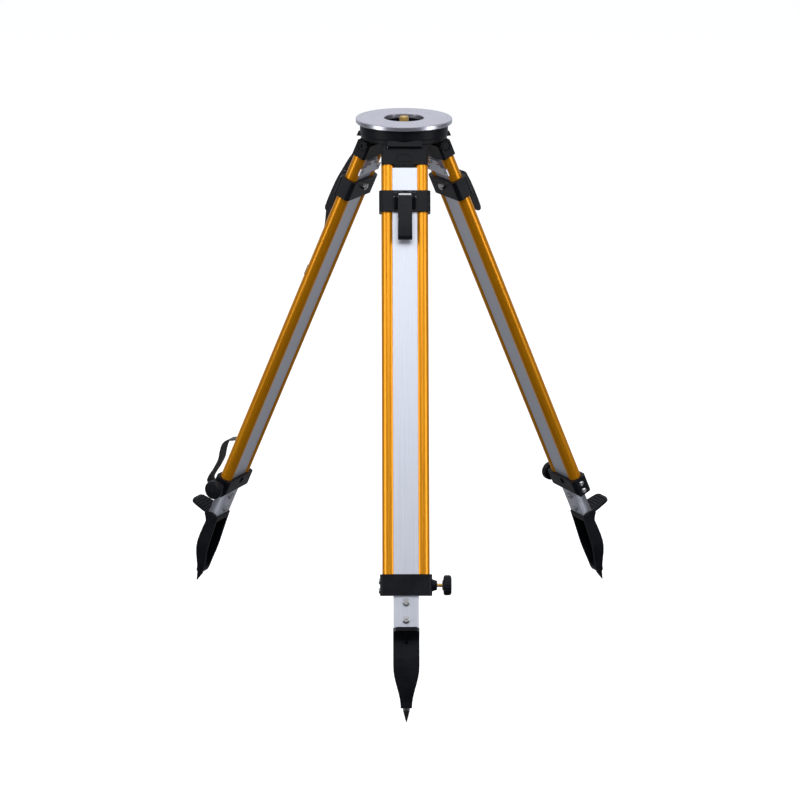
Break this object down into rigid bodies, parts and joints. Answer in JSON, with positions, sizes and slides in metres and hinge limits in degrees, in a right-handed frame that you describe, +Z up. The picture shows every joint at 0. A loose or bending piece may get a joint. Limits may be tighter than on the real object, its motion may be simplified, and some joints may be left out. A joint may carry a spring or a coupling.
{
  "type": "surveyor tripod",
  "caption": "Surveying tripod with a flat round head, fixing screw and three telescopic legs of paired tubes with lever clamps, side clamps and pedalled steel-point feet.",
  "frame": {"origin": "centre of the head plate's top face, which is also the top of the fixing stud", "axes": "+Z up along the fixing stud and the tripod's axis; the front leg points to -Y and the other two are 120 degrees round from it; +X is to the right seen from the front leg"},
  "size_m": [0.7492, 0.6726, 0.9008],
  "materials": {
    "head_aluminium": "satin, turned",
    "black_casting": "black powder coat on die-cast aluminium",
    "black_plastic": "fine moulded texture",
    "orange_tube": "orange anodised, satin",
    "silver_extrusion": "clear anodised, satin",
    "steel": "zinc plated",
    "brass": "machined",
    "webbing": "woven nylon"
  },
  "bodies": {
    "head": {"head_plate": "head_aluminium", "head_casting": "black_casting", "plate_screws": "steel", "arm_pivot": "steel"},
    "arm": {"swing_arm": "black_casting"},
    "carriage": {"slide_bush": "steel", "bush_spring": "steel"},
    "fixing_screw": {"fixing_stud": "brass", "screw_knob": "black_plastic"},
    "front_leg": {"front_bracket": "black_casting", "front_tubes": "orange_tube", "front_hinge_bolt": "steel", "front_lower_collar": "black_plastic", "front_collar_screws": "steel", "front_clamp_pad": "brass"},
    "front_side_clamp": {"front_clamp_screw": "brass", "front_clamp_knob": "black_plastic"},
    "front_lower_leg": {"front_inner_leg": "silver_extrusion", "front_guide_plate": "silver_extrusion", "front_slide_collar": "black_plastic", "front_slide_bolts": "steel", "front_lever_pin": "steel", "front_shoe": "black_casting", "front_tip": "steel"},
    "front_clamp_lever": {"front_lever": "black_plastic"},
    "right_leg": {"right_bracket": "black_casting", "right_tubes": "orange_tube", "right_hinge_bolt": "steel", "right_lower_collar": "black_plastic", "right_collar_screws": "steel", "right_clamp_pad": "brass"},
    "right_side_clamp": {"right_clamp_screw": "brass", "right_clamp_knob": "black_plastic"},
    "right_lower_leg": {"right_inner_leg": "silver_extrusion", "right_guide_plate": "silver_extrusion", "right_slide_collar": "black_plastic", "right_slide_bolts": "steel", "right_lever_pin": "steel", "right_shoe": "black_casting", "right_tip": "steel"},
    "right_clamp_lever": {"right_lever": "black_plastic"},
    "left_leg": {"left_bracket": "black_casting", "left_tubes": "orange_tube", "left_hinge_bolt": "steel", "left_lower_collar": "black_plastic", "left_collar_screws": "steel", "left_clamp_pad": "brass", "strap": "webbing", "strap_buckle": "black_plastic", "strap_anchors": "steel"},
    "left_side_clamp": {"left_clamp_screw": "brass", "left_clamp_knob": "black_plastic"},
    "left_lower_leg": {"left_inner_leg": "silver_extrusion", "left_guide_plate": "silver_extrusion", "left_slide_collar": "black_plastic", "left_slide_bolts": "steel", "left_lever_pin": "steel", "left_shoe": "black_casting", "left_tip": "steel"},
    "left_clamp_lever": {"left_lever": "black_plastic"}
  },
  "joints": [
    {"name": "arm_swing", "type": "hinge", "parent": "head", "child": "arm", "pos_m": [0, 0.056, -0.019], "axis": [0, 0, 1], "range_deg": [-14, 14]},
    {"name": "bush_slide", "type": "slide", "parent": "arm", "child": "carriage", "axis": [0, -1, 0], "range_m": [-0.015, 0.015]},
    {"name": "stud_turn", "type": "hinge", "parent": "carriage", "child": "fixing_screw", "pos_m": [0, 0, -0.03], "axis": [0, 0, 1], "continuous": true},
    {"name": "front_leg_hinge", "type": "hinge", "parent": "head", "child": "front_leg", "pos_m": [0, -0.0584, -0.048], "axis": [-1, 0, 0], "range_deg": [-24.16, 12]},
    {"name": "front_extension", "type": "slide", "parent": "front_leg", "child": "front_lower_leg", "axis": [0, -0.4093, -0.9124], "range_m": [0, 0.585]},
    {"name": "front_lever_hinge", "type": "hinge", "parent": "front_lower_leg", "child": "front_clamp_lever", "pos_m": [0, -0.10871, -0.10982], "axis": [-1, 0, 0], "range_deg": [0, 110]},
    {"name": "front_clamp_turn", "type": "hinge", "parent": "front_leg", "child": "front_side_clamp", "pos_m": [0.05, -0.34826, -0.69417], "axis": [1, 0, 0], "continuous": true},
    {"name": "right_leg_hinge", "type": "hinge", "parent": "head", "child": "right_leg", "pos_m": [0.05058, 0.0292, -0.048], "axis": [0.5, -0.866, 0], "range_deg": [-24.16, 12]},
    {"name": "right_extension", "type": "slide", "parent": "right_leg", "child": "right_lower_leg", "axis": [0.3545, 0.2046, -0.9124], "range_m": [0, 0.585]},
    {"name": "right_lever_hinge", "type": "hinge", "parent": "right_lower_leg", "child": "right_clamp_lever", "pos_m": [0.09415, 0.05436, -0.10982], "axis": [0.5, -0.866, 0], "range_deg": [0, 110]},
    {"name": "right_clamp_turn", "type": "hinge", "parent": "right_leg", "child": "right_side_clamp", "pos_m": [0.2766, 0.21743, -0.69417], "axis": [-0.5, 0.866, 0], "continuous": true},
    {"name": "left_leg_hinge", "type": "hinge", "parent": "head", "child": "left_leg", "pos_m": [-0.05058, 0.0292, -0.048], "axis": [0.5, 0.866, 0], "range_deg": [-24.16, 12]},
    {"name": "left_extension", "type": "slide", "parent": "left_leg", "child": "left_lower_leg", "axis": [-0.3545, 0.2046, -0.9124], "range_m": [0, 0.585]},
    {"name": "left_lever_hinge", "type": "hinge", "parent": "left_lower_leg", "child": "left_clamp_lever", "pos_m": [-0.09415, 0.05436, -0.10982], "axis": [0.5, 0.866, 0], "range_deg": [0, 110]},
    {"name": "left_clamp_turn", "type": "hinge", "parent": "left_leg", "child": "left_side_clamp", "pos_m": [-0.3266, 0.13083, -0.69417], "axis": [-0.5, -0.866, 0], "continuous": true}
  ]
}
